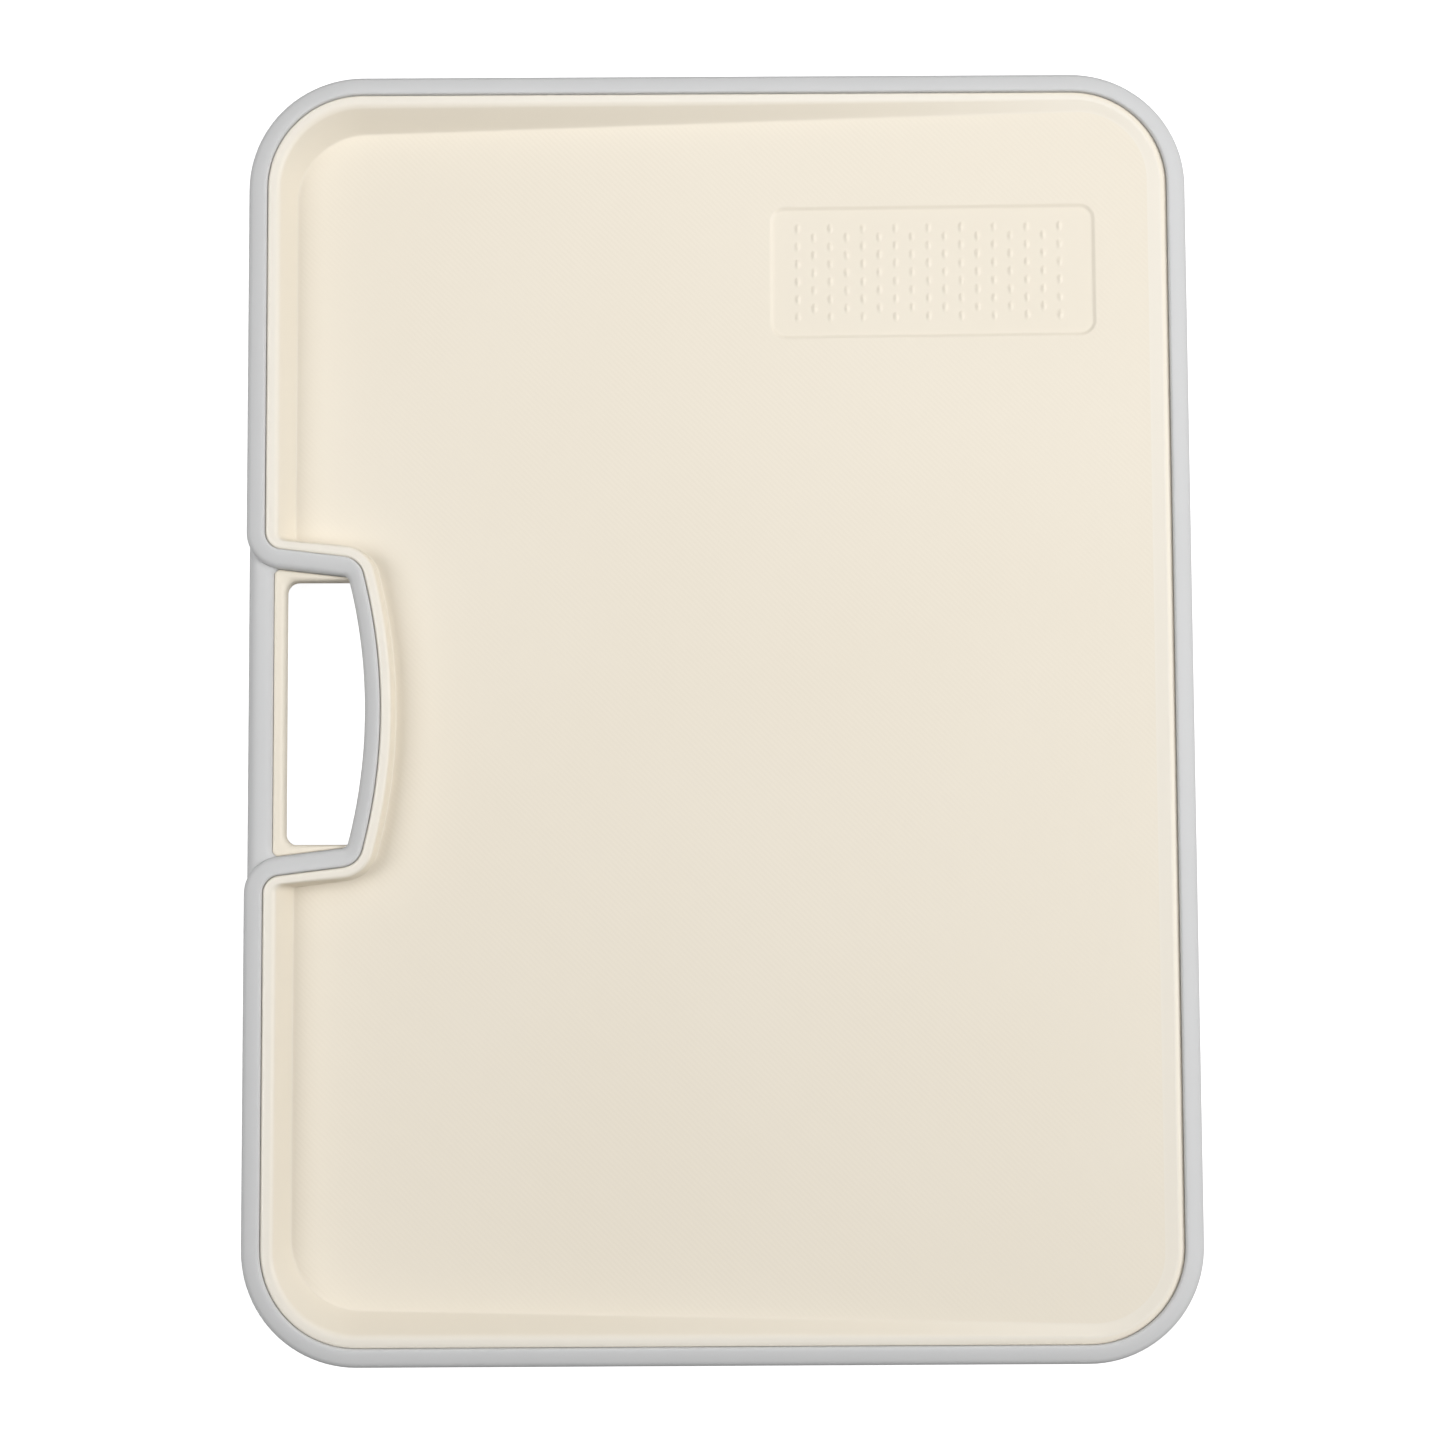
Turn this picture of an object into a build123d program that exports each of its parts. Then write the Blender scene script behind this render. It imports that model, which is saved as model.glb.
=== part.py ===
from build123d import *
from math import atan, degrees, radians, tan
import os

# A two-faced kitchen cutting board, in millimetres. It lies on its back with its front face up:
# +X to the right, +Y to the top end, the handle at the left, and the origin on the table in the
# middle of the footprint.
#
# front_panel  moulded tray: lip, sloping floor, grater patch, handle frame and hidden ribs
# back_panel   flat second cutting face, welded to the ribs of the front panel
# edge_rim     soft band round both panels, which loops inwards round the handle bay
# handle_grip  soft sleeve on the outer bar of the handle

# ---- Driving sizes ----

# The whole board
board_length = 400.0
board_width = 293.5
board_thickness = 17.0
corner_radius = 35.5

# Soft rim, and the tongue of the front panel that it is moulded onto
rim_width = 5.9
rim_proud = 0.8
rim_outer_round = 2.6
rim_inner_bevel = 0.7
tongue_reach = 3.0
tongue_thickness = 3.0
fit_gap = 0.05

# Lip and dished tray of the front panel
crest_width = 2.4
lip_outer_bevel = 1.0
tray_depth_at_handle = 9.0
tray_depth_far_side = 0.3
wall_run_at_handle = 6.0
wall_run_far_side = 3.5
wall_run_ends_deep = 8.5
wall_run_ends_shallow = 3.2
floor_corner_radius = 22.0
wall_sections = 3
wall_swell = 1.3

# Panel walls, and the ribs between the hidden pockets
floor_thickness = 2.8
back_thickness = 3.0
back_edge_bevel = 1.0
edge_wall = 9.0
rib_pitch = 55.0
rib_thickness = 2.0

# Handle bay: its two end branches lean inwards, and its far side is one large arc
bay_reach = 37.0
bay_half_length = 45.2
bay_lean = 7.0
bay_arc_radius = 167.0
bay_inner_round = 2.2
loop_width = 4.85
collar_run = 1.6
crest_mouth_round = 3.2
floor_mouth_round = 1.2

# Handle frame and its finger slot
frame_recess = 4.5
slot_half_length = 41.0
slot_corner_radius = 3.5
slot_edge_round = 0.8
bar_width = 12.0

# Soft grip, and the key of the frame that it is moulded onto
grip_width = 8.8
grip_inset = 0.4
grip_proud = 1.2
grip_half_length = 54.0
grip_outer_round = 4.0
grip_inner_round = 1.1
key_reach = 4.5
key_thickness = 4.6

# Grater patch with staggered teeth
grater_length = 100.0
grater_width = 41.2
grater_from_side = 29.4
grater_from_end = 42.8
grater_depth = 0.9
grater_corner_radius = 4.0
grater_wall_slope = 45.0
tooth_columns = 17
tooth_rows = 6
tooth_pitch_across = 5.12
tooth_pitch_along = 5.78
tooth_field_shift = -1.2
tooth_width = 2.0
tooth_length = 2.8
tooth_height = 1.0
tooth_slope = 38.0

# ---- Places worked out from them ----

board_left = -board_width / 2
panel_width = board_width - 2 * rim_width
panel_length = board_length - 2 * rim_width
panel_left = -panel_width / 2
panel_corner = corner_radius - rim_width
panel_mouth_round = crest_mouth_round + crest_width

lip_height = board_thickness - rim_proud
seam_height = rim_proud + back_thickness
middle_height = board_thickness / 2

bay_apex = board_left + bay_reach
slot_left = board_left + bar_width
grip_left = board_left + grip_inset
frame_left = grip_left + grip_width
frame_thickness = board_thickness - 2 * frame_recess
grip_thickness = frame_thickness + 2 * grip_proud

# The floor is a plane: deepest beside the handle and nearly level with the lip at the far side
floor_left = panel_left + crest_width + wall_run_at_handle
floor_right = -panel_left - crest_width - wall_run_far_side
floor_fall = (tray_depth_at_handle - tray_depth_far_side) / (floor_right - floor_left)
middle_depth = tray_depth_at_handle + floor_left * floor_fall


def fan_plane(depth_share, drop=0.0):
    """A plane between the lip (depth share 0) and the tray's floor (1), with its tilt shared too."""
    tilt = degrees(atan(depth_share * floor_fall))
    origin = (0, 0, lip_height - depth_share * middle_depth)
    return Plane(origin).rotated((0, -tilt, 0)).offset(-drop)


# ---- Plans that several pieces share ----

def bay_plan(arc_growth, end_growth):
    """The handle bay, grown past its slot side: a leaning trapezium cut off by one large arc."""
    apex = bay_apex + arc_growth
    arc_radius = bay_arc_radius + arc_growth
    outside = board_left - rim_width
    lean = tan(radians(bay_lean))
    outer_half = bay_half_length + end_growth + (panel_left - outside) * lean
    inner_half = bay_half_length + end_growth + (panel_left - apex) * lean
    with BuildSketch() as plan:
        with BuildLine():
            Polyline((outside, outer_half), (apex, inner_half), (apex, -inner_half),
                     (outside, -outer_half), close=True)
        make_face()
        with Locations(Location((apex - arc_radius, 0, 0), (0, 0, 180))):
            Circle(arc_radius, mode=Mode.INTERSECT)
        fillet(plan.vertices().sort_by(Axis.X)[-2:], bay_inner_round + arc_growth)
    return plan.sketch


def with_bay(outline, bay, mouth_round):
    """An outline with the bay taken out of its left side, and the two mouth corners rounded."""
    with BuildSketch() as plan:
        add(outline)
        add(bay, mode=Mode.SUBTRACT)
        left_corners = plan.vertices().group_by(Axis.X)[0]
        fillet(left_corners.sort_by(lambda corner: abs(corner.Y))[:2], mouth_round)
    return plan.sketch


def panel_plan(growth=0.0):
    """Outline of both panels, which is also the inner edge of the rim."""
    with BuildSketch() as outline:
        RectangleRounded(panel_width + 2 * growth, panel_length + 2 * growth, panel_corner + growth)
    bay = bay_plan(loop_width - growth, rim_width - growth)
    return with_bay(outline.sketch, bay, panel_mouth_round + growth)


def dish_plan(share):
    """Outline of the dish, from the crest of the lip (share 0) down to the floor (share 1)."""
    left = panel_left + crest_width + share * wall_run_at_handle
    right = -panel_left - crest_width - share * wall_run_far_side
    crest_end = panel_length / 2 - crest_width
    deep_end = crest_end - share * wall_run_ends_deep
    shallow_end = crest_end - share * wall_run_ends_shallow
    crest_corner = panel_corner - crest_width
    with BuildSketch() as outline:
        with BuildLine():
            Polyline((left, -deep_end), (right, -shallow_end), (right, shallow_end),
                     (left, deep_end), close=True)
        make_face()
        fillet(outline.vertices(), crest_corner + share * (floor_corner_radius - crest_corner))
    collar = crest_width + share * collar_run
    bay = bay_plan(loop_width + collar, rim_width + collar)
    mouth_round = crest_mouth_round + share * (floor_mouth_round - crest_mouth_round)
    return with_bay(outline.sketch, bay, mouth_round)


def frame_plan(growth=0.0):
    """The handle frame: a plate across the bay, open at the finger slot."""
    reach = bay_apex + loop_width - frame_left
    with BuildSketch() as plan:
        with Locations((frame_left + reach / 2, 0)):
            Rectangle(reach, 2 * (grip_half_length + growth))
        slot_reach = frame_left + reach - slot_left
        with BuildSketch(mode=Mode.SUBTRACT) as slot:
            with Locations((slot_left + growth + slot_reach / 2, 0)):
                Rectangle(slot_reach, 2 * (slot_half_length - growth))
            fillet(slot.vertices().group_by(Axis.X)[0], slot_corner_radius)
    return plan.sketch


def tongue_plan(growth=0.0):
    """The tongue that stands out of the panel's edge into the rim, and stops at the handle."""
    reach = tongue_reach + growth
    with BuildSketch() as plan:
        RectangleRounded(panel_width + 2 * reach, panel_length + 2 * reach, panel_corner + reach)
        with Locations((board_left, 0)):
            Rectangle(2 * (bay_reach + loop_width), 2 * (grip_half_length + rim_width - growth),
                      mode=Mode.SUBTRACT)
    return plan.sketch


# ---- Hidden pockets under the tray, and the ribs left between them ----

field_left = bay_apex + loop_width + edge_wall
field_width = -panel_left - edge_wall - field_left
field_length = panel_length - 2 * edge_wall
pocket_columns = round(field_width / rib_pitch)
pocket_rows = round(field_length / rib_pitch)
pocket_width = field_width / pocket_columns - rib_thickness
pocket_length = field_length / pocket_rows - rib_thickness

with BuildPart() as pockets:
    with BuildSketch(Plane.XY.offset(seam_height)):
        with Locations((field_left + field_width / 2, 0)):
            with GridLocations(pocket_width + rib_thickness, pocket_length + rib_thickness,
                               pocket_columns, pocket_rows):
                Rectangle(pocket_width, pocket_length)
    extrude(amount=lip_height - seam_height)
    split(bisect_by=fan_plane(1, drop=floor_thickness), keep=Keep.BOTTOM)

# ---- Room that both panels and the rim leave for the grip ----

with BuildPart() as grip_room:
    with BuildSketch(Plane.XY.offset(middle_height)):
        with Locations((frame_left - grip_width, 0)):
            Rectangle(2 * grip_width, 2 * (grip_half_length + fit_gap))
    extrude(amount=grip_thickness / 2 + fit_gap, both=True)

# ---- Front panel ----

with BuildPart() as handle_frame:
    with BuildSketch(Plane.XY.offset(middle_height)):
        add(frame_plan())
    extrude(amount=frame_thickness / 2, both=True)
    flat_edges = handle_frame.faces().filter_by(Axis.Z).edges()
    slot_edges = flat_edges.filter_by(
        lambda edge: edge.center().X > slot_left - fit_gap
        and abs(edge.center().Y) < slot_half_length + fit_gap)
    fillet(slot_edges, slot_edge_round)

grater_centre = (board_width / 2 - grater_from_side - grater_length / 2,
                 board_length / 2 - grater_from_end - grater_width / 2)

with BuildPart() as front_panel:
    # Body between the seam and the crest of the lip
    with BuildSketch(Plane.XY.offset(seam_height)):
        add(panel_plan(-fit_gap))
    extrude(amount=lip_height - seam_height)
    chamfer(front_panel.faces().sort_by(Axis.Z)[-1].edges(), lip_outer_bevel)
    add(grip_room.part, mode=Mode.SUBTRACT)

    # Tongue for the rim
    with BuildSketch(Plane.XY.offset(middle_height)):
        add(tongue_plan())
    extrude(amount=tongue_thickness / 2, both=True)

    # Handle frame, with the key for the grip on its outer edge
    add(handle_frame.part)
    with BuildSketch(Plane.XY.offset(middle_height)):
        with Locations((frame_left - key_reach / 2, 0)):
            Rectangle(key_reach, 2 * grip_half_length)
    extrude(amount=key_thickness / 2, both=True)

    # Dish: one smooth wall, which swells at the crest and meets the floor in a crease
    for section in range(wall_sections):
        share = section / (wall_sections - 1)
        with BuildSketch(fan_plane(share ** wall_swell)):
            add(dish_plan(share))
    loft(mode=Mode.SUBTRACT)

    # Grater patch: a shallow recess in the floor, with teeth up to the level of the floor
    with BuildSketch(fan_plane(1)):
        with Locations(grater_centre):
            RectangleRounded(grater_length, grater_width, grater_corner_radius)
    extrude(amount=-grater_depth, taper=grater_wall_slope, mode=Mode.SUBTRACT)
    with BuildSketch(fan_plane(1, drop=grater_depth)):
        for column in range(tooth_columns):
            across = (column - (tooth_columns - 1) / 2) * tooth_pitch_across + tooth_field_shift
            with Locations((grater_centre[0] + across, grater_centre[1])):
                with GridLocations(tooth_width, tooth_pitch_along, 1, tooth_rows - column % 2):
                    Rectangle(tooth_width, tooth_length)
    extrude(amount=tooth_height, taper=tooth_slope)

    # Pockets between the ribs
    add(pockets.part, mode=Mode.SUBTRACT)
front_panel.part.label = "front_panel"

# ---- Back panel ----

with BuildPart() as back_panel:
    with BuildSketch(Plane.XY.offset(rim_proud)):
        add(panel_plan(-fit_gap))
    extrude(amount=back_thickness)
    chamfer(back_panel.faces().sort_by(Axis.Z)[0].edges(), back_edge_bevel)
    add(grip_room.part, mode=Mode.SUBTRACT)
back_panel.part.label = "back_panel"

# ---- Soft rim ----

with BuildSketch() as board_outline:
    RectangleRounded(board_width, board_length, corner_radius)
rim_outline = with_bay(board_outline.sketch, bay_plan(0, 0), panel_mouth_round + rim_width)

with BuildPart() as edge_rim:
    with BuildSketch():
        add(rim_outline)
        add(panel_plan(), mode=Mode.SUBTRACT)
    extrude(amount=board_thickness)
    flats = edge_rim.faces().filter_by(Axis.Z)
    outer_edges = [edge for flat in flats for edge in flat.outer_wire().edges()]
    inner_edges = [edge for flat in flats for edge in flat.inner_wires()[0].edges()]
    fillet(outer_edges, rim_outer_round)
    chamfer(inner_edges, rim_inner_bevel)

    # Room for the tongue, and for the handle frame and the grip that pass through the rim
    with BuildSketch(Plane.XY.offset(middle_height)):
        add(tongue_plan(fit_gap))
    extrude(amount=tongue_thickness / 2 + fit_gap, both=True, mode=Mode.SUBTRACT)
    with BuildSketch(Plane.XY.offset(middle_height)):
        add(frame_plan(fit_gap))
    extrude(amount=frame_thickness / 2 + fit_gap, both=True, mode=Mode.SUBTRACT)
    add(grip_room.part, mode=Mode.SUBTRACT)
edge_rim.part.label = "edge_rim"

# ---- Soft grip ----

with BuildPart() as handle_grip:
    with BuildSketch(Plane.XZ) as section:
        with Locations((grip_left + grip_width / 2, middle_height)):
            Rectangle(grip_width, grip_thickness)
        outer_corners = section.vertices().group_by(Axis.X)[0]
        inner_corners = section.vertices().group_by(Axis.X)[-1]
        fillet(outer_corners, grip_outer_round)
        fillet(inner_corners, grip_inner_round)
        with Locations((frame_left - (key_reach + fit_gap) / 2, middle_height)):
            Rectangle(key_reach + fit_gap, key_thickness + 2 * fit_gap, mode=Mode.SUBTRACT)
    extrude(amount=grip_half_length, both=True)
handle_grip.part.label = "handle_grip"

# ---- One file for each piece ----

os.makedirs("parts", exist_ok=True)
for piece in (front_panel, back_panel, edge_rim, handle_grip):
    export_step(piece.part, f"parts/{piece.part.label}.step")
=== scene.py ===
# %% [markdown]
# # A two-faced kitchen cutting board
#
# The board is a cream plastic tray, closed by a flat back, with a soft grey rim all round. The rim
# loops inwards round a bay for the fingers, and a grey sleeve covers the bar that the hand holds.
# This notebook takes the engineer's model as a fixed frame and gives each piece its final skin.
#
# A real board of this kind is moulded, so its shapes are a few outlines that run all the way round,
# with one section carried along them. That is also how each piece is made here: the outline is
# worked out once with numpy, and the sections turn it into surfaces.

import bpy
import numpy as np
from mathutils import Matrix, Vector


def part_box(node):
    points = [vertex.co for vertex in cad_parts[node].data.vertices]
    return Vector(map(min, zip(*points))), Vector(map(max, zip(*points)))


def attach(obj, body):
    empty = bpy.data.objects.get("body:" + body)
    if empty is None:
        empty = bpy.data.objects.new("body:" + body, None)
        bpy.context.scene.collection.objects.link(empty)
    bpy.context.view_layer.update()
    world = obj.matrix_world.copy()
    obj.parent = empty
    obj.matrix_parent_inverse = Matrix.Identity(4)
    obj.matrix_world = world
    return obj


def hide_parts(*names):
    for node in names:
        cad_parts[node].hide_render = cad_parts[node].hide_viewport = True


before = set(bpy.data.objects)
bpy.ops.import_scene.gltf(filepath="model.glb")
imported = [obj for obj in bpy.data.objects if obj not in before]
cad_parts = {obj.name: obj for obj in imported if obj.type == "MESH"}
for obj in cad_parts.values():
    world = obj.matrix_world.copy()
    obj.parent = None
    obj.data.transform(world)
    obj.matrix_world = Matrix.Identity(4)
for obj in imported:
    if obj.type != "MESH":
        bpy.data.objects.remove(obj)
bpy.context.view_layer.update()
print("nodes in the frame:", sorted(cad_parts))

# %% [markdown]
# ## Sizes
#
# Blender works in metres and the board is easier to think of in millimetres, so every size of it
# is written as a number times `mm`. Places come from the frame: the rim's box gives the outside, and
# the flat back gives the edge of both panels, because it fills the rim up to a small moulding gap.

# %% Places taken from the frame
mm = 0.001
moulding_gap = 0.05 * mm

rim_low, rim_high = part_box("edge_rim")
back_low, back_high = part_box("back_panel")
grip_low, grip_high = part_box("handle_grip")
tray_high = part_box("front_panel")[1]

board_left = rim_low.x
board_half_length = rim_high.y
board_thickness = rim_high.z
panel_left = back_low.x - moulding_gap
panel_half_length = back_high.y + moulding_gap
rim_width = panel_left - board_left
lip_height = tray_high.z
seam_height = back_high.z
print(f"board {-2 * board_left / mm:.1f} by {2 * board_half_length / mm:.1f} mm")
print(f"rim {rim_width / mm:.1f} mm wide")

# %% Sizes of the outline and of the dish
corner_radius = 35.5 * mm
loop_width = 4.85 * mm
mouth_round = 5.6 * mm
bay_reach = 37 * mm
bay_half_length = 45.2 * mm
bay_lean = np.radians(7)
bay_arc_radius = 167 * mm
bay_inner_round = 2.2 * mm

crest_width = 2.4 * mm
tray_depth_at_handle = 9.0 * mm
tray_depth_far_side = 0.3 * mm
wall_run_at_handle = 6.0 * mm
wall_run_far_side = 3.5 * mm
wall_run_ends_deep = 8.5 * mm
wall_run_ends_shallow = 3.2 * mm
wall_run_at_bay = 1.6 * mm
floor_corner_radius = 22 * mm
floor_mouth_round = 1.2 * mm

floor_left = panel_left + crest_width + wall_run_at_handle
floor_right = -panel_left - crest_width - wall_run_far_side
floor_fall = (tray_depth_at_handle - tray_depth_far_side) / (floor_right - floor_left)


def dish_depth(x):
    """Depth of the floor under the lip: a straight line, deepest beside the handle."""
    return tray_depth_at_handle - (x - floor_left) * floor_fall


print(f"the floor falls {np.degrees(np.arctan(floor_fall)):.2f} degrees towards the handle")

# %% [markdown]
# ## One outline for every piece
#
# Rim, panels and dish all follow the same line: a rounded rectangle whose left side turns in at a
# mouth, runs along a leaning branch, turns again and follows one large arc across the bay. The
# outline is the same above and below its middle, so the upper half is worked out and mirrored.
#
# Each straight run and each arc always gets the same number of points. Two outlines of different
# size then match point for point, and a surface between them is a plain grid.

# %% Straight runs, arcs and rounded corners
def run(start, end, count):
    """Evenly spaced points on a straight line, from its start up to, but without, its end."""
    share = np.arange(count)[:, None] / count
    return start + share * (end - start)


def arc(centre, radius, first_angle, turn, count):
    """Points of a circle: the centre plus the radius times (cosine, sine), without the last one."""
    angle = first_angle + turn * np.arange(count) / count
    return centre + radius * np.stack([np.cos(angle), np.sin(angle)], axis=1)


def unit(vector):
    """The vector divided by its own length."""
    return vector / np.hypot(*vector)


def rounded_corner(before, corner, after, radius, count):
    """The arc that touches both sides of a corner, and the point where it ends.

    The arc starts one radius times the tangent of half the turn before the corner, and its centre
    is one radius to the side that the path turns to.
    """
    incoming = unit(corner - before)
    outgoing = unit(after - corner)
    turn = np.arctan2(incoming[0] * outgoing[1] - incoming[1] * outgoing[0], incoming @ outgoing)
    cut = radius * np.tan(abs(turn) / 2)
    to_side = np.sign(turn) * np.array([-incoming[1], incoming[0]])
    centre = corner - cut * incoming + radius * to_side
    first_angle = np.arctan2(-to_side[1], -to_side[0])
    return arc(centre, radius, first_angle, turn, count), corner + cut * outgoing


# %% The outline of the board
side_steps = 8
corner_steps = 24
end_steps = 24
mouth_steps = 16
branch_steps = 6
inner_steps = 14
arc_steps = 14


def outline(left, end_at_left, end_at_right, corner, mouth, arc_growth, end_growth, right=None):
    """A closed outline, counter-clockwise from the middle of its right side.

    The upper half is a rounded polygon up to the bay. There the branch leans inwards, and a fillet
    joins it to the large arc: its centre lies one fillet radius off the branch, and the large
    radius minus the fillet radius from the centre of the large arc. The quadratic formula gives how
    far along the branch that is. The lower half is the mirror.
    """
    right = -left if right is None else right
    apex = board_left + bay_reach + arc_growth
    large_radius = bay_arc_radius + arc_growth
    large_centre = np.array([apex - large_radius, 0])
    fillet_radius = bay_inner_round + arc_growth
    along = np.array([np.cos(bay_lean), -np.sin(bay_lean)])
    inwards = np.array([-np.sin(bay_lean), -np.cos(bay_lean)])
    branch_start = np.array([panel_left, bay_half_length + end_growth])

    from_large = branch_start + fillet_radius * inwards - large_centre
    middle = from_large @ along
    reach = from_large @ from_large - (large_radius - fillet_radius) ** 2
    fillet_centre = large_centre + from_large + (np.sqrt(middle ** 2 - reach) - middle) * along
    branch_end = fillet_centre - fillet_radius * inwards
    arc_angle = np.arctan2(*(fillet_centre - large_centre)[::-1])
    fillet_angle = np.pi / 2 - bay_lean

    mouth_point = branch_start + (left - panel_left) / along[0] * along
    right_middle = np.array([right, 0])
    right_corner = np.array([right, end_at_right])
    left_corner = np.array([left, end_at_left])
    turn_1, after_1 = rounded_corner(right_middle, right_corner, left_corner, corner, corner_steps)
    turn_2, after_2 = rounded_corner(right_corner, left_corner, mouth_point, corner, corner_steps)
    turn_3, after_3 = rounded_corner(left_corner, mouth_point, branch_end, mouth, mouth_steps)
    upper = np.concatenate([
        run(right_middle, turn_1[0], side_steps),
        turn_1,
        run(after_1, turn_2[0], end_steps),
        turn_2,
        run(after_2, turn_3[0], side_steps),
        turn_3,
        run(after_3, branch_end, branch_steps),
        arc(fillet_centre, fillet_radius, fillet_angle, arc_angle - fillet_angle, inner_steps),
        arc(large_centre, large_radius, arc_angle, -arc_angle, arc_steps),
        [[apex, 0]],
    ])
    lower = upper[-2:0:-1] * (1, -1)
    return np.concatenate([upper, lower])


# %% The outlines of the rim, the panels and the dish
def panel_outline(inset):
    """The edge of both panels, moved inwards: sides move and rounds shrink or grow by the inset."""
    return outline(panel_left + inset, panel_half_length - inset, panel_half_length - inset,
                   corner_radius - rim_width - inset, mouth_round - inset,
                   loop_width + inset, rim_width + inset)


def wall_outline(share):
    """A level of the dish's wall: share 0 is the crest of the lip and share 1 the edge of the floor.

    Each size is its value at the crest plus the share times its change down to the floor.
    """
    crest_end = panel_half_length - crest_width
    crest_corner = corner_radius - rim_width - crest_width
    crest_mouth = mouth_round - crest_width
    bay_growth = crest_width + share * wall_run_at_bay
    return outline(panel_left + crest_width + share * wall_run_at_handle,
                   crest_end - share * wall_run_ends_deep,
                   crest_end - share * wall_run_ends_shallow,
                   crest_corner + share * (floor_corner_radius - crest_corner),
                   crest_mouth + share * (floor_mouth_round - crest_mouth),
                   loop_width + bay_growth, rim_width + bay_growth,
                   right=-panel_left - crest_width - share * wall_run_far_side)


rim_outside = outline(board_left, board_half_length, board_half_length, corner_radius,
                      mouth_round + rim_width, 0, 0)
rim_inside = panel_outline(0)
print("points in each outline:", len(rim_outside))

# %% [markdown]
# ## From outlines to pieces
#
# Blender needs points and faces. Here every skin is a grid of points, one outline after another, so
# its faces are four neighbours each, and numpy can number them all at once.

# %% Grids and pieces
def quads(rows, columns, wrap_rows=False, wrap_columns=True):
    """Four-cornered faces of a grid, whose points are numbered row times columns plus column."""
    row = np.arange(rows if wrap_rows else rows - 1)[:, None]
    column = np.arange(columns if wrap_columns else columns - 1)[None, :]
    next_row = (row + 1) % rows
    next_column = (column + 1) % columns
    corners = [row * columns + column, row * columns + next_column,
               next_row * columns + next_column, next_row * columns + column]
    return np.stack(corners, axis=-1).reshape(-1, 4).tolist()


def tube_faces(rows, columns):
    """Faces of a section carried along a path, and a polygon over each of its two ends."""
    first_end = [row * columns for row in range(rows)]
    last_end = [row * columns + columns - 1 for row in range(rows)]
    return quads(rows, columns, wrap_rows=True, wrap_columns=False) + [first_end, last_end[::-1]]


def ring_at(plan, height):
    """An outline lifted to a height, which may be one number or one for each point."""
    return np.column_stack([plan, np.broadcast_to(height, len(plan))])


def make_piece(name, points, faces, node):
    """A smooth mesh that moves with the board and stands for one node of the frame."""
    mesh = bpy.data.meshes.new(name)
    mesh.from_pydata(np.asarray(points).reshape(-1, 3), [], faces)
    mesh.shade_smooth()
    mesh.validate()
    piece = bpy.data.objects.new(name, mesh)
    bpy.context.scene.collection.objects.link(piece)
    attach(piece, "root")
    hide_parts(node)
    triangles = sum(len(polygon.vertices) - 2 for polygon in mesh.polygons)
    print(f"{name}: {len(mesh.vertices)} points, {triangles} triangles")
    return piece


# %% [markdown]
# ## The tray
#
# The tray is one moulding: an edge that hides in the rim's groove, a rounded lip, a straight wall and
# a floor that slopes towards the handle. Carved by hand it would take a sculpting session. As a
# section carried round the outline it takes a list of levels, each with how far in it lies and how
# deep it is.
#
# The wall's run and depth are different at every point: long and deep beside the handle, short and
# steep round the bay, almost nothing on the far side. So the section is worked out for all
# points at once. It leaves the crest on a circle and runs down the circle's tangent, which
# gives a soft bead on top, a flat wall, and a crisp crease at the foot, everywhere. One more
# level lies on the floor just past the crease, so that the smooth shading of the wall ends there
# and doesn't tilt the light on the large flat floor.

# %% The section of the lip and the wall
lip_round = 1.2 * mm
wide_lip_width = 2.2 * mm
wide_lip_drop = 1.3 * mm
lip_steps = 7
bead_size = 4.2 * mm
bead_steps = 9
straight_steps = 6
crease_cut = 0.5 * mm
crease_steps = 5
level_margin = 0.4 * mm


def dish_wall():
    """The rings from the crest to the floor.

    The bead's radius is run times bead size over their sum, so it never gets wider than the wall.
    Seen from the bead's centre, the tangent to the foot leaves the circle at the direction of the
    foot plus the arc cosine of radius over distance. At the foot a quadratic curve, from the
    wall to the floor with its middle point in the corner, rounds the crease. The last ring lies on
    the floor, a margin past the crease.
    """
    crest = wall_outline(0)
    to_foot = wall_outline(1) - crest
    wall_run = np.hypot(*to_foot.T)
    inwards = to_foot / wall_run[:, None]
    depth = dish_depth(wall_outline(1)[:, 0])

    radius = wall_run * bead_size / (wall_run + bead_size)
    distance = np.hypot(wall_run, radius - depth)
    leave = np.arctan2(radius - depth, wall_run) + np.arccos(radius / distance)
    share = np.linspace(0, 1, bead_steps)[:, None]
    angle = np.pi / 2 + share * (leave - np.pi / 2)
    bead = np.stack([radius * np.cos(angle), radius * (1 - np.sin(angle))])

    foot = np.stack([wall_run, depth])[:, None]
    top = bead[:, -1:]
    length = np.hypot(*(foot - top))
    wall_end = foot + (top - foot) * crease_cut / length
    share = np.linspace(0, 1, straight_steps)[1:-1, None]
    straight = top + share * (wall_end - top)

    past_foot = wall_run + crease_cut
    floor_depth = dish_depth(crest[:, 0] + past_foot * inwards[:, 0])
    floor_start = np.stack([past_foot, floor_depth])[:, None]
    share = np.linspace(0, 1, crease_steps)[:, None]
    crease = (1 - share) ** 2 * wall_end + 2 * share * (1 - share) * foot + share ** 2 * floor_start

    past_foot = past_foot + level_margin
    floor_depth = dish_depth(crest[:, 0] + past_foot * inwards[:, 0])
    level = np.stack([past_foot, floor_depth])[:, None]

    distance_in, depth_below = np.concatenate([bead, straight, crease, level], axis=1)
    return [ring_at(crest + level_in[:, None] * inwards, lip_height - level_depth)
            for level_in, level_depth in zip(distance_in, depth_below)]


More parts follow.
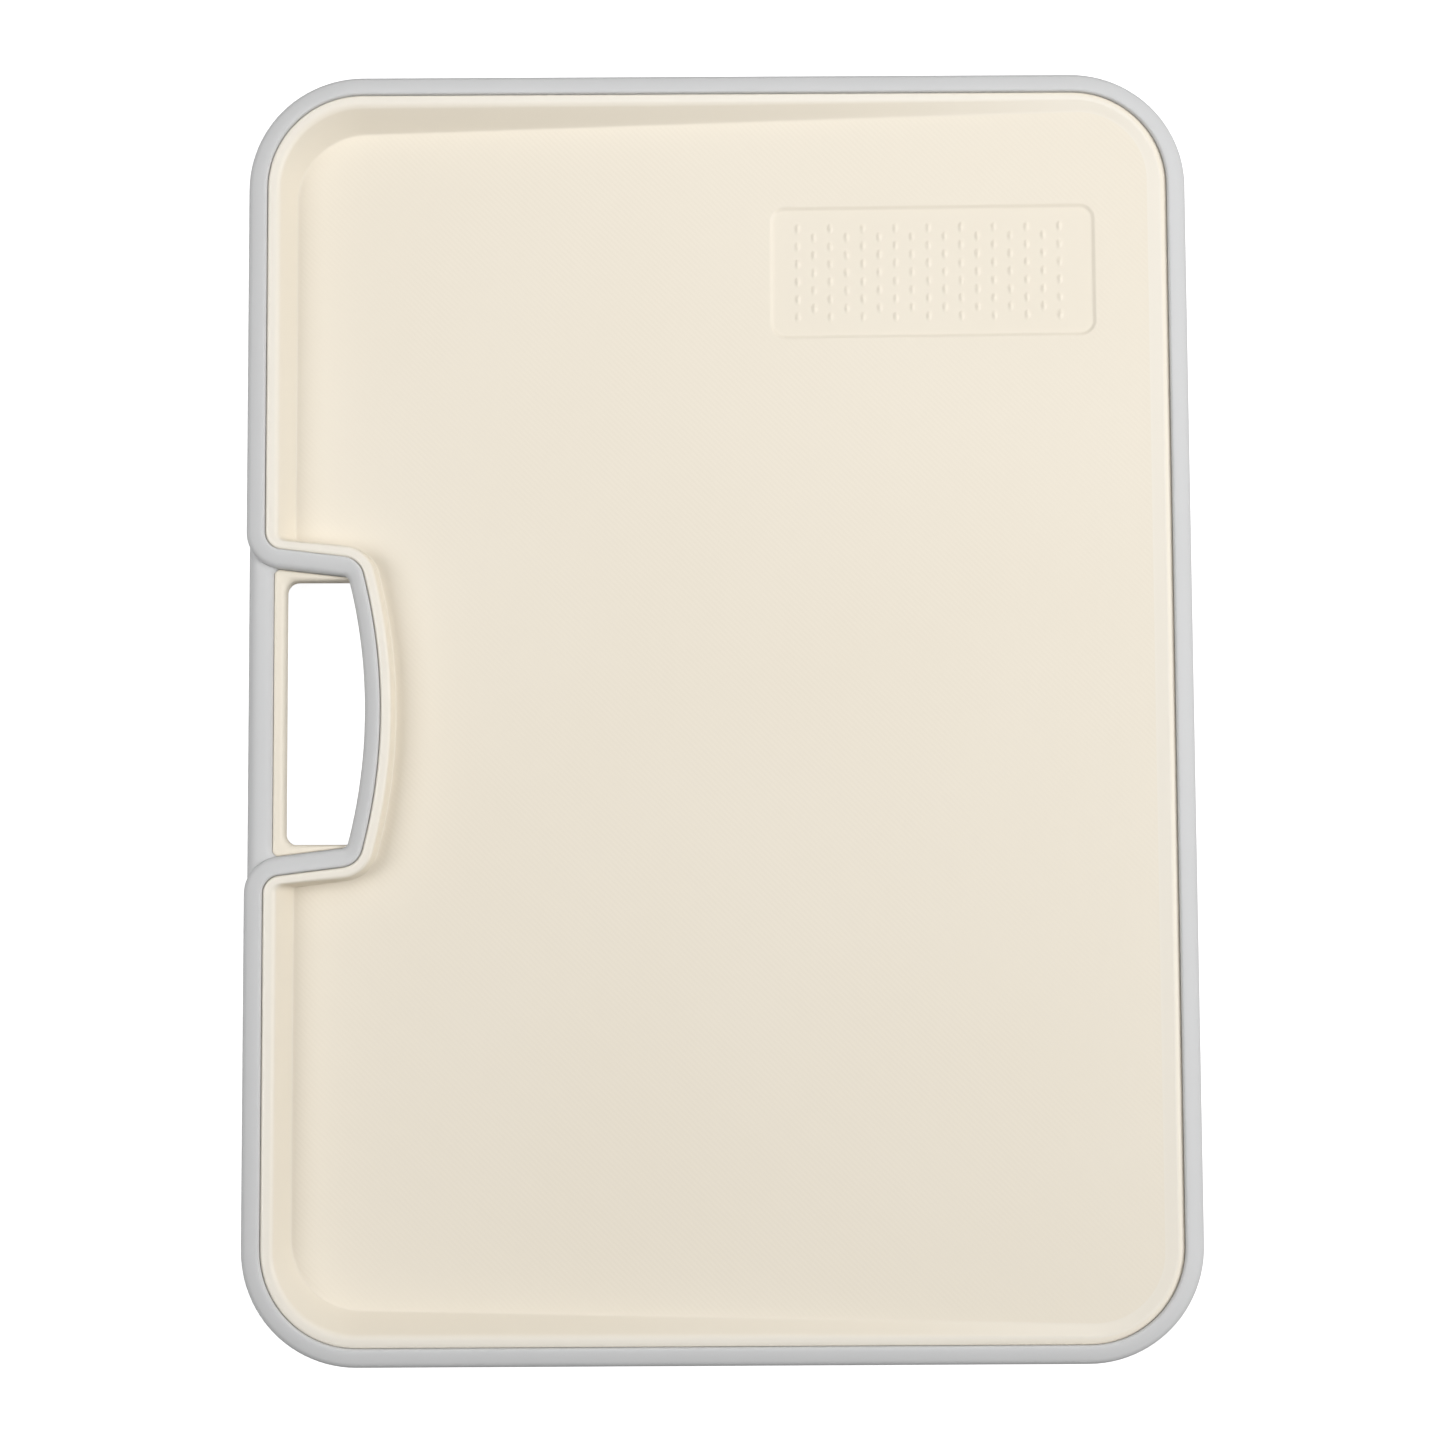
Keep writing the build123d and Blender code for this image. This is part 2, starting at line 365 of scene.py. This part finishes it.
def lip(angle):
    """A level of the lip's round, at an angle from its side (0) to its top (a quarter turn).

    The round is a quarter circle. On the far side and at the lower end it is a wider quarter
    ellipse, and the one turns into the other along the corners between them.
    """
    edge = panel_outline(moulding_gap)
    inwards = (panel_outline(moulding_gap + mm) - edge) / mm
    from_wide_side = np.minimum(-panel_left - edge[:, 0], panel_half_length + edge[:, 1])
    wide = 1 - np.clip(from_wide_side / corner_radius, 0, 1)
    width = lip_round + wide * (wide_lip_width - lip_round)
    drop = lip_round + wide * (wide_lip_drop - lip_round)
    return ring_at(edge + (width * (1 - np.cos(angle)))[:, None] * inwards,
                   lip_height - drop * (1 - np.sin(angle)))


tray_rings = [ring_at(panel_outline(moulding_gap), seam_height)]
tray_rings += [lip(angle) for angle in np.linspace(0, np.pi / 2, lip_steps)]
tray_rings += dish_wall()
print(len(tray_rings), "levels from the seam to the floor")

# %% [markdown]
# ### The grater patch
#
# Near the top right corner a shallow recess carries staggered teeth for ginger and garlic. Nearly a
# hundred little cones could be placed one by one, but the mould makes them in one surface, and so
# does a height map: the recess is a function of the distance to a rounded rectangle, and the
# teeth repeat, so one tooth is drawn in a cell that the whole field shares.

# %% The height map of the patch
patch_length = 102 * mm
patch_width = 42.2 * mm
patch_right = 28.4 * mm
patch_top = 41.35 * mm
patch_corner = 5 * mm
patch_depth = 0.65 * mm
patch_wall = 1.3 * mm
patch_margin = 1.2 * mm
tooth_columns = 17
tooth_rows = 6
pitch_across = 5.12 * mm
pitch_along = 5.62 * mm
field_shift = -1.2 * mm
tooth_half_width = 1.0 * mm
tooth_half_length = 2.0 * mm
tooth_height = 0.45 * mm
tooth_fullness = 1.1
grid_step = 0.3 * mm

patch_centre = np.array([-board_left - patch_right - patch_length / 2,
                         board_half_length - patch_top - patch_width / 2])


def smooth_step(value):
    """Rises from 0 to 1 with level ends: 3 times the square minus 2 times the cube."""
    value = np.clip(value, 0, 1)
    return value * value * (3 - 2 * value)


def recess(across, along):
    """How deep the patch is sunk: nothing outside a rounded rectangle, full depth past its wall."""
    over_x = np.abs(across) - patch_length / 2 + patch_corner
    over_y = np.abs(along) - patch_width / 2 + patch_corner
    outside = np.hypot(np.maximum(over_x, 0), np.maximum(over_y, 0))
    distance = outside + np.minimum(np.maximum(over_x, over_y), 0) - patch_corner
    return patch_depth * smooth_step(-distance / patch_wall)


def teeth(across, along):
    """Height of the teeth: in each cell an oval cone with a blunt tip, odd columns half a cell on."""
    column = np.round((across - field_shift) / pitch_across)
    from_column = across - field_shift - column * pitch_across
    odd = np.abs(column + (tooth_columns - 1) / 2) % 2
    rows = tooth_rows - odd
    row = np.clip(np.round(along / pitch_along + (rows - 1) / 2), 0, rows - 1)
    from_row = along - (row - (rows - 1) / 2) * pitch_along
    cone = 1 - np.hypot(from_column / tooth_half_width, from_row / tooth_half_length)
    inside_field = np.abs(column) <= (tooth_columns - 1) / 2
    return inside_field * tooth_height * smooth_step(tooth_fullness * cone)


patch_columns = round((patch_length + 2 * patch_margin) / grid_step)
patch_rows = round((patch_width + 2 * patch_margin) / grid_step)
across = np.linspace(-0.5, 0.5, patch_columns) * (patch_length + 2 * patch_margin)
along = np.linspace(-0.5, 0.5, patch_rows) * (patch_width + 2 * patch_margin)
across, along = np.meshgrid(across, along)
patch_x = patch_centre[0] + across
patch_y = patch_centre[1] + along
patch_z = lip_height - dish_depth(patch_x) - recess(across, along) + teeth(across, along)
patch_points = np.stack([patch_x, patch_y, patch_z], axis=-1).reshape(-1, 3)
print(f"grater patch: {patch_columns} by {patch_rows} points")

# %% [markdown]
# ### The floor between the wall and the patch
#
# The floor is flat, so it needs no grid: two large polygons fill it. One polygon can't have a hole, so
# a cut runs down past the left side of the patch and splits the floor in two. Each half is a loop
# of point numbers: part of the floor's edge, then back along the patch.

# %% Close the tray
ring_count = len(tray_rings)
ring_length = len(rim_inside)
edge_first = (ring_count - 1) * ring_length
patch_first = ring_count * ring_length
floor_edge = tray_rings[-1]
cut_x = patch_x[0, 0]

patch_numbers = patch_first + np.arange(patch_rows * patch_columns).reshape(patch_rows, patch_columns)
beside_bay = np.abs(floor_edge[:, 1]) < patch_centre[1]
from_cut = np.where(beside_bay, np.inf, np.abs(floor_edge[:, 0] - cut_x))
top_cut = int(np.argmin(from_cut[:ring_length // 2]))
bottom_cut = ring_length - top_cut
floor_numbers = edge_first + np.arange(ring_length)

left_floor = [*floor_numbers[top_cut:bottom_cut + 1], *patch_numbers[:, 0]]
right_floor = [*floor_numbers[bottom_cut:], *floor_numbers[:top_cut + 1],
               *patch_numbers[-1, :], *patch_numbers[-2::-1, -1], *patch_numbers[0, -2::-1]]
underside = list(range(ring_length))[::-1]

patch_faces = quads(patch_rows, patch_columns, wrap_columns=False)
tray_faces = quads(ring_count, ring_length)
tray_faces += [[patch_first + corner for corner in face] for face in patch_faces]
tray_faces += [[int(number) for number in loop] for loop in (left_floor, right_floor, underside)]
tray_points = np.concatenate([*tray_rings, patch_points])
tray = make_piece("tray", tray_points, tray_faces, "front_panel")

# %% [markdown]
# The floor has a fine moulded grain, while the lip, the wall and the grater patch are smooth. The
# lip is glossier as well, and a painted highlight makes its colour a shade whiter. The material can't
# know which is which, so the mesh tells it: `grain` is 1 on the floor and 0 elsewhere, and the gloss
# number, which carries the painted highlight too, is 1 on the lip and fades out down the bead. On the
# far side, where the wall is too low to see, the lip's round is left plain, and the gloss and a
# painted pale band of light run from its top to the crease.

# %% Mark where the grain, the gloss and the painted highlight are
grain = np.zeros(len(tray_points), np.float32)
grain[edge_first:] = 1
grain[patch_first:] = (recess(across, along) == 0).ravel()
tray.data.attributes.new("grain", "FLOAT", "POINT").data.foreach_set("value", grain)

# The gloss number lowers the roughness, which is real gloss, and also paints a paler colour: a painted
# highlight on the lip, a painted band of light on the far side.
far_side_gloss_and_painted_band = 0.8
gloss_and_highlight_fade_depth = 3 * mm
lip_top = lip_steps
bead_end = lip_top + bead_steps
crease_end = ring_count - 2
level = np.arange(ring_count)
on_lip_and_bead = np.interp(level, [lip_top + 1, bead_end], [1, 0])
on_wall = far_side_gloss_and_painted_band * ((level >= lip_top) & (level < crease_end))
deep_share = np.clip(dish_depth(wall_outline(1)[:, 0]) / gloss_and_highlight_fade_depth, 0, 1)
gloss_and_painted_highlight = np.outer(on_lip_and_bead, deep_share) + np.outer(on_wall, 1 - deep_share)
gloss_and_painted_highlight = np.concatenate([gloss_and_painted_highlight.ravel(), np.zeros(len(patch_points))])
tray.data.attributes.new("gloss_and_painted_highlight", "FLOAT", "POINT").data.foreach_set("value", gloss_and_painted_highlight.astype(np.float32))
print(f"{grain.mean():.0%} of the tray's points carry the grain, {np.mean(gloss_and_painted_highlight > 0):.0%} the polish")

# %% [markdown]
# ## The flat back
#
# The other side of the board is a plain cutting face, a plate with a rounded edge that closes the
# hollow of the tray. A Bevel modifier could round the edge of a plain plate. Here the plate repeats
# the outline at a few levels instead, so its points lie right under those of the tray, and one
# polygon closes it on each side.

# %% The back panel
back_round = 1.0 * mm
back_steps = 6
back_angles = np.linspace(0, np.pi / 2, back_steps)
back_levels = [(back_round * (1 - np.sin(angle)), back_low.z + back_round * (1 - np.cos(angle)))
               for angle in back_angles]
back_rings = [ring_at(panel_outline(moulding_gap + inset), height) for inset, height in back_levels]
back_rings += [ring_at(panel_outline(moulding_gap), back_high.z)]
back_faces = quads(len(back_rings), ring_length)
back_faces += [list(range(ring_length))[::-1],
               [(len(back_rings) - 1) * ring_length + number for number in range(ring_length)]]
back = make_piece("back_face", np.concatenate(back_rings), back_faces, "back_panel")

# %% [markdown]
# ## The soft rim
#
# The rim is moulded over the edge of both panels. Its section is a bead: a generous round outside, a
# top that leans slightly outwards, and a tight round where it meets the lip. A curve with a bevel
# profile could carry that section round the board, but at one width only, and the loop round the bay
# is narrower. So the section is carried round two matching outlines, the outside and the panel's
# edge. Points near one of them keep their distance to it in millimetres, and the points between
# share what is left, so the same section fits the wide rim and the narrow loop.

# %% The section of the rim
rim_outer_round = 2.6 * mm
rim_inner_round = 0.75 * mm
rim_lean = 0.9 * mm
lean_angle = np.radians(20)
lean_curve = 1.5
round_steps = 8
flat_steps = 4


def rim_section():
    """One closed loop as (distance kept, share of the width, height above the middle).

    It climbs the outer side and turns onto the top by an arc, which stops where it leans as the top
    does. It crosses the top on a curve that lies below the rim's highest point by the lean times a
    power of the share still to go, so it gets there level. A quarter circle rounds the inner edge,
    and the bottom is the mirror image.
    """
    half = board_thickness / 2
    angle = np.linspace(0, np.pi / 2 - lean_angle, round_steps)
    outer = np.stack([rim_outer_round * (1 - np.cos(angle)),
                      np.zeros(round_steps),
                      half - rim_lean - rim_outer_round * (np.cos(lean_angle) - np.sin(angle))], axis=1)
    angle = np.linspace(0, np.pi / 2, round_steps)
    inner = np.stack([-rim_inner_round * (1 - np.sin(angle)),
                      np.ones(round_steps),
                      half - rim_inner_round * (1 - np.cos(angle))], axis=1)
    share = np.linspace(0, 1, flat_steps + 2)[1:-1]
    crossing = np.stack([(1 - share) * outer[-1, 0] - share * rim_inner_round,
                         share,
                         half - rim_lean * (1 - share) ** lean_curve], axis=1)
    upper = np.concatenate([outer, crossing, inner])
    return np.concatenate([upper, upper[::-1] * (1, 1, -1)])


def carried(section, outside, inside):
    """The section at every point of a path between two outlines.

    A point lies across the path by its kept distance plus its share of the width there, and up
    from the board's middle by its height.
    """
    width = np.hypot(*(inside - outside).T)[None, :, None]
    across_path = (inside - outside)[None] / width
    distance = section[:, 0, None, None] + section[:, 1, None, None] * width
    plan = outside[None] + distance * across_path
    height = np.broadcast_to(board_thickness / 2 + section[:, 2, None, None], (*plan.shape[:2], 1))
    return np.concatenate([plan, height], axis=2)


section = rim_section()
rim_points = carried(section, rim_outside, rim_inside)
rim_faces = quads(len(section), ring_length, wrap_rows=True)
rim = make_piece("soft_rim", rim_points, rim_faces, "edge_rim")

# %% [markdown]
# ## The handle
#
# Across the bay lies a thinner frame, part of the cream moulding, with the slot for the fingers.
# Its outer bar carries the grey sleeve. A plate with a hole cut by a Boolean modifier could do, but
# its edges would still have to be rounded. So the frame is the same kind of surface again: a section
# carried along the edge of the slot, out to the rim and the sleeve. Its top is a low cushion, a full
# round at the slot and a tight one at the border. The strip gets narrower towards the loop, so here
# the rounds are shares of its width.

# %% The frame round the finger slot
frame_recess = 4.5 * mm
slot_half_length = 41 * mm
slot_corner_radius = 3.5 * mm
slot_share = 0.5
slot_drop = 1.8 * mm
border_share = 0.25
border_drop = 0.8 * mm
hollow_radius = 1.8 * mm
bar_width = 12 * mm
slot_steps = 10

slot_left = board_left + bar_width
sleeve_edge = grip_high.x - 0.8 * mm
frame_left = sleeve_edge
frame_right = board_left + bay_reach - loop_width / 2


def branch_face(x):
    """Half the length of the bay at a place across it, less a moulding gap to the rim's branch.

    It falls from the mouth inwards by the way gone times the tangent of the branch's lean.
    """
    return bay_half_length - moulding_gap - (x - panel_left) * np.tan(bay_lean)


def c_path(left, half_at_left, half_at_right, corner):
    """Three sides of a slot that is open at the right: in along the top, down and out again."""
    start = np.array([frame_right, half_at_right])
    top = np.array([left, half_at_left])
    bottom = top * (1, -1)
    end = start * (1, -1)
    turn_top, after_top = rounded_corner(start, top, bottom, corner, slot_steps)
    turn_bottom, after_bottom = rounded_corner(top, bottom, end, corner, slot_steps)
    return np.concatenate([run(start, turn_top[0], side_steps), turn_top,
                           run(after_top, turn_bottom[0], side_steps), turn_bottom,
                           run(after_bottom, end, side_steps), [end]])


print(f"the strip beside the slot is {(slot_left - frame_left) / mm:.1f} mm wide")

# %% The frame's surface
slot_edge = c_path(slot_left, slot_half_length, slot_half_length, slot_corner_radius)
border_left = frame_left + moulding_gap
frame_border = c_path(border_left, branch_face(border_left), branch_face(frame_right), hollow_radius)

half_frame = board_thickness / 2 - frame_recess
angle = np.linspace(0, np.pi / 2, round_steps)
slot_side = np.stack([np.zeros(round_steps), slot_share * (1 - np.cos(angle)),
                      half_frame - slot_drop * (1 - np.sin(angle))], axis=1)
border_side = np.stack([np.zeros(round_steps), 1 - border_share * (1 - np.sin(angle)),
                        half_frame - border_drop * (1 - np.cos(angle))], axis=1)
frame_top = np.concatenate([slot_side, border_side])
frame_section = np.concatenate([frame_top, frame_top[::-1] * (1, 1, -1)])
# The path is walked backwards, so that the faces look outwards.
frame_points = carried(frame_section, slot_edge, frame_border)[:, ::-1]
frame_faces = tube_faces(*frame_points.shape[:2])
handle_frame = make_piece("handle_frame", frame_points, frame_faces, "front_panel")

# %% [markdown]
# ### The sleeve on the bar
#
# The sleeve is softer in shape than the frame: full rounds on the palm side, smaller ones on the
# finger side. A long box with bevelled edges would come close and miss one thing. Near each end the
# inner edge swings out in a small hollow curve and melts into the loop of the rim, as soft material
# does when two runs of it meet in one mould. So the sleeve is a grid too, the same section at every
# station along the bar, with its inner edge moved out near both ends.

# %% The grip
palm_round = 4.0 * mm
finger_round = 2.6 * mm
finger_drop = 2.0 * mm
hollow_end = bay_half_length - 0.5 * mm
grip_stations = 60
grip_steps = 8

angle = np.linspace(0, np.pi / 2, grip_steps)
half_grip = (grip_high.z - grip_low.z) / 2
palm = np.stack([palm_round * (1 - np.cos(angle)), half_grip - palm_round * (1 - np.sin(angle))], axis=1)
finger = np.stack([-finger_round * (1 - np.sin(angle)),
                   half_grip - finger_drop * (1 - np.cos(angle))], axis=1)
print("grip section:", 2 * (len(palm) + len(finger)), "points")

station = np.sin(np.linspace(-np.pi / 2, np.pi / 2, grip_stations)) * grip_high.y
near_end = np.clip(np.abs(station) - hollow_end + hollow_radius, 0, hollow_radius)
flare = hollow_radius - np.sqrt(hollow_radius ** 2 - near_end ** 2)
upper_x = np.concatenate([np.broadcast_to(grip_low.x + palm[:, 0, None], (grip_steps, grip_stations)),
                          sleeve_edge + flare[None] + finger[:, 0, None]])
upper_z = np.concatenate([palm[:, 1], finger[:, 1]])[:, None] + np.zeros(grip_stations)
grip_x = np.concatenate([upper_x, upper_x[::-1]])
grip_z = board_thickness / 2 + np.concatenate([upper_z, -upper_z[::-1]])
grip_y = np.broadcast_to(station, grip_x.shape)
# Backwards again, for the same reason.
grip_points = np.stack([grip_x, grip_y, grip_z], axis=-1)[:, ::-1]
grip_faces = tube_faces(*grip_points.shape[:2])
grip = make_piece("grip_sleeve", grip_points, grip_faces, "handle_grip")

# %% [markdown]
# ## Materials
#
# Both plastics are simple in life and still never one flat colour: moulded parts have a grain, a
# slight cloudiness and an uneven sheen. The patterns are worked out in the shader from each point's
# place on the object, so they stay on the board when it moves.
#
# Shader maths reads best as ordinary sums, so one small class wraps a socket and turns `+`, `-` and
# `*` into Math nodes. A second one adds every other node, with a short name for noise and for mixing.

# %% A socket that can be reckoned with
class Socket:
    """An output of a node. Arithmetic on it adds Math nodes to its material."""

    def __init__(self, paint, output):
        self.paint = paint
        self.output = output

    def math(self, operation, first, second):
        """A Math node on two values, each a number or a socket."""
        return self.paint.node("ShaderNodeMath", {"operation": operation}, {0: first, 1: second})

    def __add__(self, other):
        return self.math("ADD", self, other)

    def __radd__(self, other):
        return self.math("ADD", other, self)

    def __sub__(self, other):
        return self.math("SUBTRACT", self, other)

    def __rsub__(self, other):
        return self.math("SUBTRACT", other, self)

    def __mul__(self, other):
        return self.math("MULTIPLY", self, other)

    def __rmul__(self, other):
        return self.math("MULTIPLY", other, self)

    def cosine(self):
        """The cosine of the value, as an angle in radians."""
        return self.paint.node("ShaderNodeMath", {"operation": "COSINE"}, {0: self})


class Paint:
    """The nodes of a material, or of the world, while they are being laid."""

    def __init__(self, owner):
        self.owner = owner
        owner.use_nodes = True
        self.tree = owner.node_tree
        self.tree.nodes.clear()

    def node(self, kind, settings=None, sockets=None, output=0):
        """Adds a node: its settings first, then values or links for its sockets."""
        made = self.tree.nodes.new(kind)
        for name, value in (settings or {}).items():
            setattr(made, name, value)
        for name, value in (sockets or {}).items():
            if isinstance(value, Socket):
                self.tree.links.new(value.output, made.inputs[name])
            else:
                made.inputs[name].default_value = value
        return Socket(self, made.outputs[output]) if made.outputs else None

    def noise(self, place, per_metre, detail):
        """Random values between 0 and 1 that change smoothly, so many times to the metre."""
        return self.node("ShaderNodeTexNoise", None,
                         {"Vector": place, "Scale": per_metre, "Detail": detail})

    def mix(self, share, first, second):
        """A colour between two. A Mix node has its colours at inputs 6 and 7, and at output 2."""
        return self.node("ShaderNodeMix", {"data_type": "RGBA"},
                         {"Factor": share, 6: first, 7: second}, output=2)

    def finish(self, shader, end="ShaderNodeOutputMaterial"):
        """Makes the shader the surface, and hands back the material or the world."""
        self.node(end, None, {"Surface": shader})
        return self.owner


print("shader helpers ready")

# %% [markdown]
# ### Cream plastic
#
# The tray is a pale, warm polypropylene with a satin sheen. Three things keep it from looking like
# paint: a faint cloudiness in the colour, a fine lattice of raised dots pressed into the floor by the
# mould, and a much finer random grain that breaks up the gloss everywhere.
#
# As geometry, the fifty thousand dots would take about a million faces, and they are too low to be
# seen from the side. So the lattice is a bump in the shader, the product of two cosines of the place,
# x and y. The product peaks at every other crossing, like the dark squares of a chess board. It is
# multiplied by the `grain` number, so the lip and the walls stay smooth.

# %% The cream plastic
dot_pitch = 1.9 * mm
grain_height = 0.04 * mm
fine_share = 0.5
cream_clouds_per_metre = 9.0
cream_grains_per_metre = 2500.0
satin = 0.42
grain_dulls = 0.1
polish_shines = 0.12
cream_light = (0.860, 0.796, 0.682, 1)
cream_deep = (0.830, 0.760, 0.636, 1)
# Painted highlight: the paler colour that the lip and the far side's band are mixed towards.
painted_lip_highlight = (0.862, 0.814, 0.724, 1)


def cream_plastic():
    """Satin cream: clouds in the colour, dots on the floor, and a glossier lip that a painted highlight
    makes paler.
    """
    paint = Paint(bpy.data.materials.new("cream_plastic"))
    place = paint.node("ShaderNodeTexCoord", output="Object")
    axes = paint.node("ShaderNodeSeparateXYZ", None, {0: place})
    x = Socket(paint, axes.output.node.outputs["X"])
    y = Socket(paint, axes.output.node.outputs["Y"])
    radians_per_metre = 2 * np.pi / dot_pitch
    wave_x = (x * radians_per_metre).cosine()
    wave_y = (y * radians_per_metre).cosine()
    floor_only = paint.node("ShaderNodeAttribute", {"attribute_name": "grain"}, output="Fac")
    lattice = wave_x * wave_y * floor_only

    clouds = paint.noise(place, cream_clouds_per_metre, detail=3.0)
    fine = paint.noise(place, cream_grains_per_metre, detail=2.0)
    body = paint.mix(clouds, cream_deep, cream_light)
    # The gloss number mixes the colour towards the painted highlight, and lowers the roughness, which is
    # real gloss.
    gloss_and_painted_highlight = paint.node("ShaderNodeAttribute", {"attribute_name": "gloss_and_painted_highlight"}, output="Fac")
    colour = paint.mix(gloss_and_painted_highlight, body, painted_lip_highlight)
    relief = paint.node("ShaderNodeBump", None,
                        {"Strength": 0.25,
                         "Distance": grain_height,
                         "Height": lattice + fine_share * fine})
    skin = paint.node("ShaderNodeBsdfPrincipled", None,
                      {"Base Color": colour,
                       "Roughness": satin + grain_dulls * fine - polish_shines * gloss_and_painted_highlight,
                       "Normal": relief,
                       "Specular IOR Level": 0.4})
    return paint.finish(skin)


cream = cream_plastic()
for piece in (tray, back, handle_frame):
    piece.data.materials.append(cream)
print(f"cream plastic: {len(cream.node_tree.nodes)} nodes, dots {dot_pitch / mm:.1f} mm apart in each row")

# %% [markdown]
# ### Grey rim
#
# The rim and the sleeve are a soft thermoplastic rubber: matt, without a clear highlight anywhere,
# and with a dust-fine grain. One flat grey would pass from a distance and look like paint close by,
# so it is mixed the same way as the cream, only duller and finer.

# %% The grey rubber
grey_light = (0.652, 0.654, 0.654, 1)
grey_deep = (0.612, 0.614, 0.616, 1)
dust_height = 0.03 * mm
grey_clouds_per_metre = 14.0
grey_grains_per_metre = 3500.0
matt = 0.6
dust_dulls = 0.12


def grey_rubber():
    """Matt grey: clouds in the colour and a dust-fine grain."""
    paint = Paint(bpy.data.materials.new("grey_rim"))
    place = paint.node("ShaderNodeTexCoord", output="Object")
    clouds = paint.noise(place, grey_clouds_per_metre, detail=3.0)
    fine = paint.noise(place, grey_grains_per_metre, detail=2.0)
    colour = paint.mix(clouds, grey_deep, grey_light)
    relief = paint.node("ShaderNodeBump", None,
                        {"Strength": 0.2, "Distance": dust_height, "Height": fine})
    skin = paint.node("ShaderNodeBsdfPrincipled", None,
                      {"Base Color": colour,
                       "Roughness": matt + dust_dulls * fine,
                       "Normal": relief,
                       "Specular IOR Level": 0.35})
    return paint.finish(skin)


grey = grey_rubber()
for piece in (rim, grip):
    piece.data.materials.append(grey)
print(f"grey rubber: {len(grey.node_tree.nodes)} nodes")

# %% [markdown]
# ## The studio
#
# The board lies on a white table. The camera should see pure white there, but the lamps may not be
# turned up for it, or the cream would wash out. So the table's material asks Light Path what kind
# of ray is looking. Camera rays get a glow on top of the plain grey, which lifts the lit table to
# full white and leaves the shadow a shade below it.
#
# The world does the same: it is white to the camera, and a dim room to every other ray. The table
# ends where the light of the lamps fades, and the white world carries on from there.

# %% The table
table_half = 1.2
table_grey = (0.5, 0.5, 0.5, 1)
table_glow = 0.88
white = (1, 1, 1, 1)


def white_table():
    """Plain grey to the lamps, and the same grey with a glow on top to the camera."""
    paint = Paint(bpy.data.materials.new("white_table"))
    seen = paint.node("ShaderNodeLightPath", output="Is Camera Ray")
    plain = paint.node("ShaderNodeBsdfDiffuse", None, {"Color": table_grey})
    glow = paint.node("ShaderNodeEmission", None, {"Color": white, "Strength": table_glow})
    lifted = paint.node("ShaderNodeAddShader", None, {0: plain, 1: glow})
    both = paint.node("ShaderNodeMixShader", None, {0: seen, 1: plain, 2: lifted})
    return paint.finish(both)


table_mesh = bpy.data.meshes.new("table")
table_mesh.from_pydata([(-table_half, -table_half, 0), (table_half, -table_half, 0),
                        (table_half, table_half, 0), (-table_half, table_half, 0)], [], [(0, 1, 2, 3)])
table_mesh.materials.append(white_table())
table = bpy.data.objects.new("table", table_mesh)
bpy.context.scene.collection.objects.link(table)
print(f"table {2 * table_half:.1f} m wide")

# %% The world
room_light = 0.05


def studio_world():
    """White to the camera, and a dim room to every other ray."""
    paint = Paint(bpy.data.worlds.new("studio"))
    seen = paint.node("ShaderNodeLightPath", output="Is Camera Ray")
    dim_room = paint.node("ShaderNodeBackground", None, {"Color": white, "Strength": room_light})
    white_sweep = paint.node("ShaderNodeBackground", None, {"Color": white, "Strength": 1.0})
    either = paint.node("ShaderNodeMixShader", None, {0: seen, 1: dim_room, 2: white_sweep})
    return paint.finish(either, end="ShaderNodeOutputWorld")


bpy.context.scene.world = studio_world()
print("world: white to the camera, dim to the object")

# %% [markdown]
# Two large soft boxes stand left and right of the board, the right one lower and a little stronger,
# and a small fill hangs near its top end. That is why the left and right slopes stay bright, while
# the wall at the top end and the rim at the lower end, which face neither box, turn a shade darker.

# %% Lamps
def soft_lamp(name, place, size, power):
    """A square lamp at a place, turned to face the middle of the board."""
    lamp = bpy.data.lights.new(name, "AREA")
    lamp.size = size
    lamp.energy = power
    lamp_object = bpy.data.objects.new(name, lamp)
    bpy.context.scene.collection.objects.link(lamp_object)
    lamp_object.location = place
    to_board = -Vector(place)
    lamp_object.rotation_euler = to_board.to_track_quat("-Z", "Y").to_euler()
    print(f"{name}: {size} m wide, {power} W, {to_board.length:.2f} m away")


soft_lamp("right_softbox", place=(1.22, 0, 1.02), size=1.0, power=18.8)
soft_lamp("left_softbox", place=(-1.08, 0, 1.17), size=1.0, power=13.4)
soft_lamp("top_fill", place=(0.1, 0.4, 0.6), size=0.5, power=1.2)

# %% [markdown]
# ## The camera
#
# The camera looks almost straight down from about 90 cm with a short telephoto lens. The small tilt
# matters: the lower end is nearer to the lens, so the board looks a little wider there.

# %% Camera and colour
camera_data = bpy.data.cameras.new("camera")
camera_data.lens = 72
camera_data.sensor_width = 36
camera = bpy.data.objects.new("camera", camera_data)
camera.location = (0.0003, -0.0764, 0.9044)
camera.rotation_euler = np.radians([4.65, -0.01, -0.30])
bpy.context.scene.collection.objects.link(camera)
bpy.context.scene.camera = camera
bpy.context.scene.view_settings.view_transform = "Standard"
print(f"camera {camera.location.length:.2f} m from the middle of the board")
